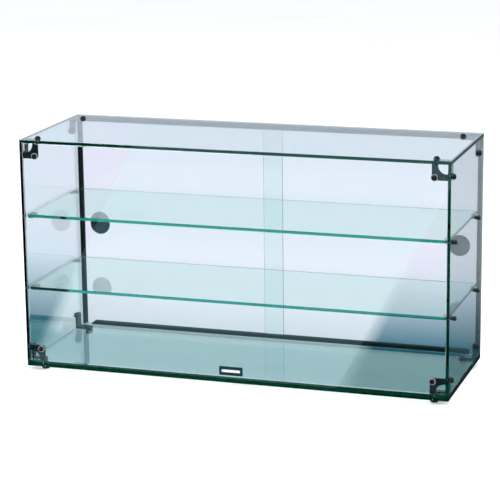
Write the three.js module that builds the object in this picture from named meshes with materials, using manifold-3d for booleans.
// Counter-top display case: a glass box with two glass shelves, black corner connectors
// and two glass doors that slide in black tracks across its rear.
// Millimetres. +X is right, -Y is the front, +Z is up. The origin is on the floor,
// at the middle of the bounding box.
import * as THREE from 'three';
import { mergeVertices } from 'three/addons/utils/BufferGeometryUtils.js';
import Module from 'manifold-3d';

const wasm = await Module();
wasm.setup();

// Driving dimensions of the glass box, from outer face to outer face.
const WIDTH = 900;
const DEPTH = 310;
const HEIGHT = 481;
const GLASS = 6;
const BASE_GLASS = 12;
const GAP = 0.3; // the film of seal, or the play, between pieces that touch

// Inner faces of the box, with x = 0 in the middle, y = 0 at the front, z = 0 underneath.
const INNER_X = WIDTH / 2 - GLASS;
const INNER_TOP = HEIGHT - GLASS;

// Shelves, which split the inside into three bays, and the studs that carry them.
const SHELF_Z = [164, 318]; // undersides
const SHELF_SIDE_GAP = 4;
const SHELF_FRONT = GLASS + 2.5;
const SHELF_REAR = DEPTH - 30;
const STUD_Y = [38, DEPTH - 50];
const STUD_PIN_RADIUS = 3.5;
const STUD_HEAD_RADIUS = 5;
const STUD_HEAD_HEIGHT = 6;
const STUD_PIN_LENGTH = 12;
const STUD_COLLAR = 1.7;
const STUD_DOME = [[0, 1], [0.45, 0.93], [0.8, 0.7], [1, 0.35]]; // shares of radius and height

// Corner connectors.
const FLANGE = 3.4; // thickness of their plates
const ARM = 12; // width of their arms
const ELBOW = 27; // from the inner faces to the middle of an arm
const ELBOW_DEPTH = 14; // the same, counted back from the front glass
const FRONT_NOTCH_RADIUS = 17;
const SIDE_NOTCH_RADIUS = 7;
const REAR_TAB_WIDTH = 24;
const REAR_TAB_Y = DEPTH - 48;
const REAR_TAB_LENGTH = 34;
const TAB_CORNER = 8;

// Screws and feet.
const SHANK_RADIUS = 3;
const HOLE_RADIUS = 3.5;
const SHANK_PROUD = 1;
const HEAD_HEIGHT = 5.2;
const BRIM_RADIUS = 6.9;
const CROWN_RADIUS = 5;
const BRIM_HEIGHT = 1.2;
const CROWN_FOOT = 1.6;
const CHAMFER = 1;
const SOCKET_RADIUS = 2.2;
const SOCKET_DEPTH = 2.2;
const FOOT_HEIGHT = 8.5;
const FOOT_RADIUS = 8;
const FOOT_SHOULDER = 1.5; // depth below the base where a foot is widest

// Double track across the rear: front wall, front channel, middle wall, rear channel, rear wall.
const TRACK_WALL = 1.5;
const TRACK_CHANNEL = 5;
const TRACK_MIDDLE = 3;
const TRACK_DEPTH = 2 * TRACK_WALL + 2 * TRACK_CHANNEL + TRACK_MIDDLE;
const TRACK_REAR = DEPTH - 2;
const TRACK_FRONT = TRACK_REAR - TRACK_DEPTH;
const UPPER_TRACK_HEIGHT = 10;
const LOWER_TRACK_HEIGHT = 7;
const LOWER_TRACK_SHORT = 19; // how far it stops from each side glass
const LOWER_TRACK_RAMP = 7; // its sloping ends
const JAMB_WIDTH = 6.5;

// Doors, and the round pulls on their rear faces.
const DOOR_GLASS = 4;
const DOOR_OVERLAP = 44;
const DOOR_EDGE_X = INNER_X - 3; // outer edge, inside the jamb
const DOOR_LIFT_ROOM = 5.4; // room above a door to lift it out
const DOOR_BOTTOM = BASE_GLASS + GAP + TRACK_WALL + GAP;
const DOOR_TOP = INNER_TOP - GAP - TRACK_WALL - DOOR_LIFT_ROOM;
const PULL_RADIUS = 22.5;
const PULL_THICKNESS = 2.6;
const PULL_DISH = { depth: 1.2, inner: 6, outer: 4, edge: 0.8 }; // widths in from the rim
const PULL_X = WIDTH / 2 - 52;
const PULL_Z = HEIGHT / 2 + 1;
const PULL_FILM = 0.2;

const BADGE = { width: 50, height: 18.5, thickness: 1, corner: 2, bottom: 16 };

const ROUND_SEGMENTS = 12;
const PULL_SEGMENTS = 28;
const ARC_SEGMENTS = 5;

const LEFT = -1;
const RIGHT = 1;
const LOWER = -1;
const UPPER = 1;

const MATERIALS = {
  glass: new THREE.MeshStandardMaterial({
    color: 0xcfe6e2, roughness: 0.04, metalness: 0, transparent: true, opacity: 0.3,
  }),
  connector: new THREE.MeshStandardMaterial({ color: 0x15181a, roughness: 0.5, metalness: 0.3 }),
  screw: new THREE.MeshStandardMaterial({ color: 0x1d2022, roughness: 0.35, metalness: 0.8 }),
  track: new THREE.MeshStandardMaterial({ color: 0x0e1011, roughness: 0.45, metalness: 0.2 }),
  plastic: new THREE.MeshStandardMaterial({ color: 0x0b0c0d, roughness: 0.4, metalness: 0 }),
  rubber: new THREE.MeshStandardMaterial({ color: 0x121314, roughness: 0.85, metalness: 0 }),
  badge: new THREE.MeshStandardMaterial({ color: 0x12323a, roughness: 0.45, metalness: 0 }),
};

// The box stands on its feet, and the heads of the front screws count in its depth.
const box = new THREE.Group();
box.position.set(0, -(DEPTH - HEAD_HEIGHT) / 2, FOOT_HEIGHT);

function addMesh(name, geometry, material, position = [0, 0, 0]) {
  const mesh = new THREE.Mesh(geometry, material);
  mesh.name = name;
  mesh.position.set(...position);
  box.add(mesh);
}

// A closed mesh of positions only, with shared vertices and no empty triangles.
function welded(geometry) {
  const plain = geometry.clone();
  plain.deleteAttribute('normal');
  plain.deleteAttribute('uv');
  const merged = mergeVertices(plain);
  const corners = merged.index.array;
  const kept = [];
  for (let i = 0; i < corners.length; i += 3) {
    const [a, b, c] = corners.slice(i, i + 3);
    if (a !== b && b !== c && c !== a) {
      kept.push(a, b, c);
    }
  }
  merged.setIndex(kept);
  return merged;
}

function solidOf(geometry) {
  const closed = welded(geometry);
  const mesh = new wasm.Mesh({
    numProp: 3,
    vertProperties: Float32Array.from(closed.attributes.position.array),
    triVerts: Uint32Array.from(closed.index.array),
  });
  return new wasm.Manifold(mesh);
}

function geometryOf(solid) {
  const mesh = solid.getMesh();
  const geometry = new THREE.BufferGeometry();
  geometry.setAttribute('position', new THREE.BufferAttribute(mesh.vertProperties, 3));
  geometry.setIndex(Array.from(mesh.triVerts));
  geometry.computeVertexNormals();
  return geometry;
}

// A box from its low corner to its high corner.
function boxBetween(low, high) {
  const size = high.map((value, axis) => value - low[axis]);
  const middle = high.map((value, axis) => (value + low[axis]) / 2);
  const geometry = new THREE.BoxGeometry(...size);
  geometry.translate(...middle);
  return geometry;
}

// A turned solid about +Z. The profile runs down the outside, from the top of the axis to its foot.
function turned(profile, segments = ROUND_SEGMENTS) {
  const upward = profile.map(([radius, height]) => new THREE.Vector2(radius, height)).reverse();
  const geometry = new THREE.LatheGeometry(upward, segments);
  geometry.rotateX(Math.PI / 2);
  return welded(geometry);
}

// Turns a solid made about +Z so that its +Z end points along the given direction.
function pointed(geometry, direction) {
  const turn = new THREE.Quaternion();
  turn.setFromUnitVectors(new THREE.Vector3(0, 0, 1), new THREE.Vector3(...direction));
  return geometry.clone().applyQuaternion(turn);
}

function turnedOver(geometry) {
  const copy = geometry.clone();
  const corners = copy.index.array;
  for (let i = 0; i < corners.length; i += 3) {
    [corners[i], corners[i + 1]] = [corners[i + 1], corners[i]];
  }
  return copy;
}

// Applies a matrix and keeps the faces pointing out where it mirrors.
function mapped(geometry, matrix) {
  const copy = geometry.clone().applyMatrix4(matrix);
  return matrix.determinant() < 0 ? turnedOver(copy) : copy;
}

// Cuts a round clearance hole along a direction, right through whatever is at the point.
function drilled(geometry, holes, radius = HOLE_RADIUS) {
  const bit = new THREE.CylinderGeometry(radius, radius, 4 * GLASS, ROUND_SEGMENTS);
  bit.rotateX(Math.PI / 2);
  let solid = solidOf(geometry);
  for (const { point, direction } of holes) {
    const cutter = pointed(bit, direction).translate(...point);
    solid = solid.subtract(solidOf(cutter));
  }
  return geometryOf(solid);
}

// Where the screws of the connectors go: on each end of the box, then on its front.
const ALONG_X = [1, 0, 0];
const ALONG_Y = [0, 1, 0];
const ALONG_Z = [0, 0, 1];
const SCREW_X = INNER_X - ELBOW;
const FRONT_SCREW_Y = GLASS + ELBOW_DEPTH;
const SCREW_Z = { [LOWER]: BASE_GLASS + ELBOW, [UPPER]: INNER_TOP - ELBOW };
const SIDES = [
  { side: LEFT, name: 'left' },
  { side: RIGHT, name: 'right' },
];
const LEVELS = [
  { level: LOWER, name: 'lower' },
  { level: UPPER, name: 'upper' },
];
const ROWS = [
  { name: 'front', y: FRONT_SCREW_Y },
  { name: 'rear', y: REAR_TAB_Y },
];

// A pane that lies flat, with its underside at the height of the origin.
function levelPane(thickness) {
  const holes = [];
  for (const { side } of SIDES) {
    for (const { y } of ROWS) {
      holes.push({ point: [side * SCREW_X, y, thickness / 2], direction: ALONG_Z });
    }
  }
  return drilled(boxBetween([-WIDTH / 2, 0, 0], [WIDTH / 2, DEPTH, thickness]), holes);
}

function panels() {
  addMesh('base_panel', levelPane(BASE_GLASS), MATERIALS.glass);
  addMesh('top_panel', levelPane(GLASS), MATERIALS.glass, [0, 0, INNER_TOP]);

  const sideHoles = [];
  for (const { y } of ROWS) {
    for (const z of Object.values(SCREW_Z)) {
      sideHoles.push({ point: [0, y, z], direction: ALONG_X });
    }
  }
  for (const y of STUD_Y) {
    for (const z of SHELF_Z) {
      sideHoles.push({ point: [0, y, z - GAP - STUD_PIN_RADIUS], direction: ALONG_X });
    }
  }
  const upright = drilled(
    boxBetween([-GLASS / 2, 0, BASE_GLASS + GAP], [GLASS / 2, DEPTH, INNER_TOP - GAP]),
    sideHoles,
  );
  for (const { side, name } of SIDES) {
    addMesh(`${name}_panel`, upright.clone(), MATERIALS.glass, [side * (WIDTH - GLASS) / 2, 0, 0]);
  }

  const frontHoles = [];
  for (const { side } of SIDES) {
    for (const z of Object.values(SCREW_Z)) {
      frontHoles.push({ point: [side * SCREW_X, GLASS / 2, z], direction: ALONG_Y });
    }
  }
  const front = drilled(
    boxBetween([-INNER_X + GAP, 0, BASE_GLASS + GAP], [INNER_X - GAP, GLASS, INNER_TOP - GAP]),
    frontHoles,
  );
  addMesh('front_panel', front, MATERIALS.glass);
}

function shelves() {
  const halfLength = INNER_X - SHELF_SIDE_GAP;
  SHELF_Z.forEach((z, index) => {
    const shelf = boxBetween([-halfLength, SHELF_FRONT, z], [halfLength, SHELF_REAR, z + GLASS]);
    addMesh(`${LEVELS[index].name}_shelf`, welded(shelf), MATERIALS.glass);
  });
}

// A plate in the shape of an elbow: two arms that run to the glass on both axes from the far
// corner, around a notch with a round corner. Its far corner is rounded too.
function elbowShape(spanA, spanB, notchRadius) {
  const notchA = spanA - ARM;
  const notchB = spanB - ARM;
  const shape = new THREE.Shape();
  shape.moveTo(notchA, GAP);
  shape.lineTo(spanA, GAP);
  shape.lineTo(spanA, spanB - TAB_CORNER);
  shape.absarc(spanA - TAB_CORNER, spanB - TAB_CORNER, TAB_CORNER, 0, Math.PI / 2, false);
  shape.lineTo(GAP, spanB);
  shape.lineTo(GAP, notchB);
  shape.lineTo(notchA - notchRadius, notchB);
  shape.absarc(notchA - notchRadius, notchB - notchRadius, notchRadius, Math.PI / 2, 0, true);
  shape.closePath();
  return shape;
}

// A tab that runs from the glass at the first axis's start to a rounded end.
function tabShape(width, length) {
  const half = width / 2;
  const shape = new THREE.Shape();
  shape.moveTo(GAP, -half);
  shape.lineTo(length - TAB_CORNER, -half);
  shape.absarc(length - TAB_CORNER, -half + TAB_CORNER, TAB_CORNER, -Math.PI / 2, 0, false);
  shape.lineTo(length, half - TAB_CORNER);
  shape.absarc(length - TAB_CORNER, half - TAB_CORNER, TAB_CORNER, 0, Math.PI / 2, false);
  shape.lineTo(GAP, half);
  shape.closePath();
  return shape;
}

// A plate of a connector. Its outline's two directions and its thickness become the given axes,
// and it stands off the glass by the gap.
function plate(shape, first, second, through) {
  const options = { depth: FLANGE, bevelEnabled: false, curveSegments: ARC_SEGMENTS };
  const geometry = new THREE.ExtrudeGeometry(shape, options);
  geometry.translate(0, 0, GAP);
  const axes = [first, second, through].map((axis) => new THREE.Vector3(...axis));
  return mapped(welded(geometry), new THREE.Matrix4().makeBasis(...axes));
}

function joined(geometries) {
  return geometries.map(solidOf).reduce((whole, next) => whole.add(next));
}

// The front connectors are three elbow plates, on the side, front and level glass, that share
// their edges. They are made for one corner, with the inner corner of the glass at the origin.
function frontConnector() {
  const span = ELBOW + ARM / 2;
  const spanBack = ELBOW_DEPTH + ARM / 2;
  const onFront = plate(elbowShape(span, span, FRONT_NOTCH_RADIUS), ALONG_X, ALONG_Z, ALONG_Y);
  const narrow = elbowShape(spanBack, span, SIDE_NOTCH_RADIUS);
  const onSide = plate(narrow, ALONG_Y, ALONG_Z, ALONG_X);
  const onLevel = plate(narrow, ALONG_Y, ALONG_X, ALONG_Z);
  const whole = geometryOf(joined([onFront, onSide, onLevel]));
  return drilled(whole, [
    { point: [ELBOW, 0, ELBOW], direction: ALONG_Y },
    { point: [0, ELBOW_DEPTH, ELBOW], direction: ALONG_X },
    { point: [ELBOW, ELBOW_DEPTH, 0], direction: ALONG_Z },
  ]);
}

// The rear connectors are two tabs at a right angle, on the side and level glass.
function rearConnector() {
  const tab = tabShape(REAR_TAB_WIDTH, REAR_TAB_LENGTH);
  const onSide = plate(tab, ALONG_Z, ALONG_Y, ALONG_X);
  const onLevel = plate(tab, ALONG_X, ALONG_Y, ALONG_Z);
  const whole = geometryOf(joined([onSide, onLevel]));
  return drilled(whole, [
    { point: [0, 0, ELBOW], direction: ALONG_X },
    { point: [ELBOW, 0, 0], direction: ALONG_Z },
  ]);
}

// A connector's place in the box: its origin goes to the inner corner of the glass.
function cornerMatrix(side, level, y) {
  const z = level === LOWER ? BASE_GLASS : INNER_TOP;
  return new THREE.Matrix4().makeScale(-side, 1, -level).setPosition(side * INNER_X, y, z);
}

function connectors() {
  const kinds = [
    { row: 'front', geometry: frontConnector(), y: GLASS },
    { row: 'rear', geometry: rearConnector(), y: REAR_TAB_Y },
  ];
  for (const { row, geometry, y } of kinds) {
    for (const { level, name: levelName } of LEVELS) {
      for (const { side, name: sideName } of SIDES) {
        const placed = mapped(geometry, cornerMatrix(side, level, y));
        addMesh(`${row}_${levelName}_${sideName}_connector`, placed, MATERIALS.connector);
      }
    }
  }
}

// A screw with a brimmed head and a round socket. Its origin is on the outer face of the glass.
function screwGeometry() {
  const reach = GLASS + GAP + FLANGE + SHANK_PROUD;
  return turned([
    [0, HEAD_HEIGHT - SOCKET_DEPTH],
    [SOCKET_RADIUS, HEAD_HEIGHT - SOCKET_DEPTH],
    [SOCKET_RADIUS, HEAD_HEIGHT],
    [CROWN_RADIUS - CHAMFER, HEAD_HEIGHT],
    [CROWN_RADIUS, HEAD_HEIGHT - CHAMFER],
    [CROWN_RADIUS, CROWN_FOOT],
    [BRIM_RADIUS, BRIM_HEIGHT],
    [BRIM_RADIUS, GAP],
    [SHANK_RADIUS, GAP],
    [SHANK_RADIUS, -reach],
    [0, -reach],
  ]);
}

function screws() {
  const screw = screwGeometry();
  const fromFront = pointed(screw, [0, -1, 0]);
  for (const { side, name } of SIDES) {
    const fromSide = pointed(screw, [side, 0, 0]);
    for (const { level, name: levelName } of LEVELS) {
      const z = SCREW_Z[level];
      const front = [side * SCREW_X, 0, z];
      addMesh(`front_${levelName}_${name}_front_screw`, fromFront.clone(), MATERIALS.screw, front);
      for (const { name: row, y } of ROWS) {
        const place = [side * WIDTH / 2, y, z];
        addMesh(`${row}_${levelName}_${name}_side_screw`, fromSide.clone(), MATERIALS.screw, place);
      }
    }
    for (const { name: row, y } of ROWS) {
      const place = [side * SCREW_X, y, HEIGHT];
      addMesh(`${row}_${name}_top_screw`, screw.clone(), MATERIALS.screw, place);
    }
  }
}

// The feet are round pads on screws that come up through the base into the lower connectors.
function feet() {
  const reach = BASE_GLASS + GAP + FLANGE + SHANK_PROUD;
  const foot = turned([
    [0, reach],
    [SHANK_RADIUS, reach],
    [SHANK_RADIUS, -GAP],
    [FOOT_RADIUS - CHAMFER, -GAP],
    [FOOT_RADIUS, -FOOT_SHOULDER],
    [FOOT_RADIUS - CHAMFER, -FOOT_HEIGHT],
    [0, -FOOT_HEIGHT],
  ]);
  for (const { name: row, y } of ROWS) {
    for (const { side, name } of SIDES) {
      addMesh(`${row}_${name}_foot`, foot.clone(), MATERIALS.rubber, [side * SCREW_X, y, 0]);
    }
  }
}

// A stud has a domed head outside the side glass, a collar inside it and a pin under the shelf.
function studs() {
  const collarInner = -GLASS - GAP;
  const collarOuter = collarInner - STUD_COLLAR;
  const pinEnd = collarInner - STUD_PIN_LENGTH;
  const dome = STUD_DOME.map(([across, up]) => [across * STUD_HEAD_RADIUS, up * STUD_HEAD_HEIGHT]);
  const stud = turned([
    ...dome,
    [STUD_HEAD_RADIUS, GAP],
    [SHANK_RADIUS, GAP],
    [SHANK_RADIUS, collarInner],
    [STUD_HEAD_RADIUS, collarInner],
    [STUD_HEAD_RADIUS, collarOuter],
    [STUD_PIN_RADIUS, collarOuter],
    [STUD_PIN_RADIUS, pinEnd],
    [0, pinEnd],
  ]);
  SHELF_Z.forEach((shelfZ, index) => {
    ROWS.forEach(({ name: row }, rowIndex) => {
      for (const { side, name } of SIDES) {
        const place = [side * WIDTH / 2, STUD_Y[rowIndex], shelfZ - GAP - STUD_PIN_RADIUS];
        const stem = `${LEVELS[index].name}_shelf_${row}_${name}`;
        addMesh(`${stem}_stud`, pointed(stud, [side, 0, 0]), MATERIALS.plastic, place);
      }
    });
  });
}

// The section of a double channel: across is its depth, from the front, and up is from its web
// to its open side.
function channelShape(height) {
  const walls = [
    [0, TRACK_WALL],
    [TRACK_WALL + TRACK_CHANNEL, TRACK_WALL + TRACK_CHANNEL + TRACK_MIDDLE],
    [TRACK_DEPTH - TRACK_WALL, TRACK_DEPTH],
  ];
  const shape = new THREE.Shape();
  shape.moveTo(TRACK_DEPTH, 0);
  shape.lineTo(0, 0);
  walls.forEach(([near, far], index) => {
    if (index > 0) {
      shape.lineTo(near, TRACK_WALL);
    }
    shape.lineTo(near, height);
    shape.lineTo(far, height);
    if (index < walls.length - 1) {
      shape.lineTo(far, TRACK_WALL);
    }
  });
  shape.closePath();
  return shape;
}

function channel(height, length) {
  const options = { depth: length, bevelEnabled: false };
  const geometry = new THREE.ExtrudeGeometry(channelShape(height), options);
  geometry.translate(0, 0, -length / 2);
  return welded(geometry);
}

// Slopes both ends of a channel that lies along X, so that its open side is the shorter.
function ramped(geometry, height, ramp) {
  const copy = geometry.clone();
  const place = copy.attributes.position;
  for (let i = 0; i < place.count; i += 1) {
    const x = place.getX(i);
    place.setX(i, x - Math.sign(x) * ramp * place.getZ(i) / height);
  }
  return copy;
}

function tracks() {
  const back = [0, 1, 0];
  const lying = (geometry, up) => {
    const axes = [back, [0, 0, up], ALONG_X].map((axis) => new THREE.Vector3(...axis));
    return mapped(geometry, new THREE.Matrix4().makeBasis(...axes));
  };
  const upper = lying(channel(UPPER_TRACK_HEIGHT, 2 * (INNER_X - GAP)), -1);
  addMesh('upper_track', upper, MATERIALS.track, [0, TRACK_FRONT, INNER_TOP - GAP]);
  const lowerLength = 2 * (INNER_X - LOWER_TRACK_SHORT);
  const lower = lying(channel(LOWER_TRACK_HEIGHT, lowerLength), 1);
  const sloped = ramped(lower, LOWER_TRACK_HEIGHT, LOWER_TRACK_RAMP);
  addMesh('lower_track', sloped, MATERIALS.track, [0, TRACK_FRONT, BASE_GLASS + GAP]);
}

function jambs() {
  const bottom = BASE_GLASS + GAP;
  const top = INNER_TOP - UPPER_TRACK_HEIGHT - 2 * GAP;
  for (const { side, name } of SIDES) {
    const axes = [[0, 1, 0], [-side, 0, 0], ALONG_Z].map((axis) => new THREE.Vector3(...axis));
    const basis = new THREE.Matrix4().makeBasis(...axes);
    const upright = mapped(channel(JAMB_WIDTH, top - bottom), basis);
    const place = [side * (INNER_X - GAP), TRACK_FRONT, (top + bottom) / 2];
    addMesh(`${name}_jamb`, upright, MATERIALS.track, place);
  }
}

// The left door runs in the front channel and the right door in the rear one.
function doors() {
  const play = (TRACK_CHANNEL - DOOR_GLASS) / 2;
  const frontFace = {
    [LEFT]: TRACK_FRONT + TRACK_WALL + play,
    [RIGHT]: TRACK_FRONT + TRACK_WALL + TRACK_CHANNEL + TRACK_MIDDLE + play,
  };
  const pull = turned([
    [0, PULL_THICKNESS - PULL_DISH.depth],
    [PULL_RADIUS - PULL_DISH.inner, PULL_THICKNESS - PULL_DISH.depth],
    [PULL_RADIUS - PULL_DISH.outer, PULL_THICKNESS],
    [PULL_RADIUS - PULL_DISH.edge, PULL_THICKNESS],
    [PULL_RADIUS, PULL_THICKNESS - PULL_DISH.edge],
    [PULL_RADIUS, 0],
    [0, 0],
  ], PULL_SEGMENTS);
  for (const { side, name } of SIDES) {
    const outer = side * DOOR_EDGE_X;
    const inner = -side * DOOR_OVERLAP / 2;
    const y = frontFace[side];
    const low = [Math.min(outer, inner), y, DOOR_BOTTOM];
    const high = [Math.max(outer, inner), y + DOOR_GLASS, DOOR_TOP];
    addMesh(`${name}_door`, welded(boxBetween(low, high)), MATERIALS.glass);
    const place = [side * PULL_X, y + DOOR_GLASS + PULL_FILM, PULL_Z];
    addMesh(`${name}_door_pull`, pointed(pull, ALONG_Y), MATERIALS.plastic, place);
  }
}

// A blank rounded plate, low on the middle of the front glass.
function badge() {
  const { width, height, thickness, corner, bottom } = BADGE;
  const x = width / 2 - corner;
  const z = height / 2 - corner;
  const shape = new THREE.Shape();
  shape.absarc(x, z, corner, 0, Math.PI / 2, false);
  shape.absarc(-x, z, corner, Math.PI / 2, Math.PI, false);
  shape.absarc(-x, -z, corner, Math.PI, 1.5 * Math.PI, false);
  shape.absarc(x, -z, corner, 1.5 * Math.PI, 2 * Math.PI, false);
  shape.closePath();
  const options = { depth: thickness, bevelEnabled: false, curveSegments: ARC_SEGMENTS };
  const geometry = new THREE.ExtrudeGeometry(shape, options);
  geometry.rotateX(Math.PI / 2);
  addMesh('badge', welded(geometry), MATERIALS.badge, [0, -GAP, bottom + height / 2]);
}

panels();
shelves();
connectors();
screws();
feet();
studs();
tracks();
jambs();
doors();
badge();

const displayCase = new THREE.Group();
displayCase.add(box);

export default displayCase;
